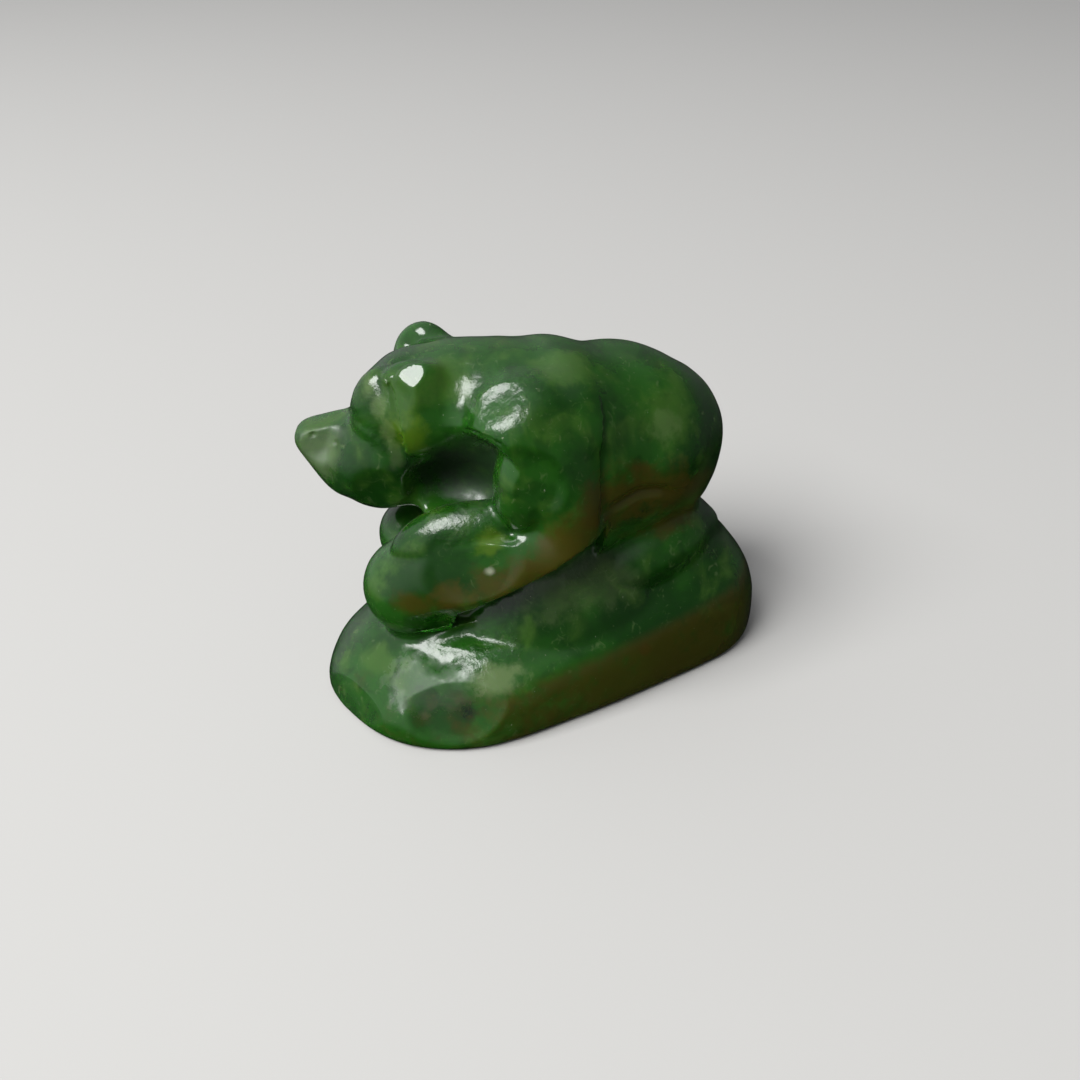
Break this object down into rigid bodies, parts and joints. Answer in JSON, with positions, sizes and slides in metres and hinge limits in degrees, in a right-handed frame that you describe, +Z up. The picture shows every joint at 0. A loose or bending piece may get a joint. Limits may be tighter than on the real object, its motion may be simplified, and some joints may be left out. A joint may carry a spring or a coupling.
{
  "type": "jade bear carving",
  "caption": "Small polished dark green stone carving of a bear lying on a rounded rock base, head turned to its right, forelegs drawn in under the chin.",
  "frame": {"origin": "middle of the box around the carving, on the flat underside that it stands on", "axes": "+Z up, the nose points along -Y, the bear's left side faces +X"},
  "size_m": [0.0276, 0.048, 0.0358],
  "materials": {
    "jade": "polished, slightly translucent"
  },
  "bodies": {
    "root": {"jade_bear_carving": "jade"}
  },
  "joints": []
}
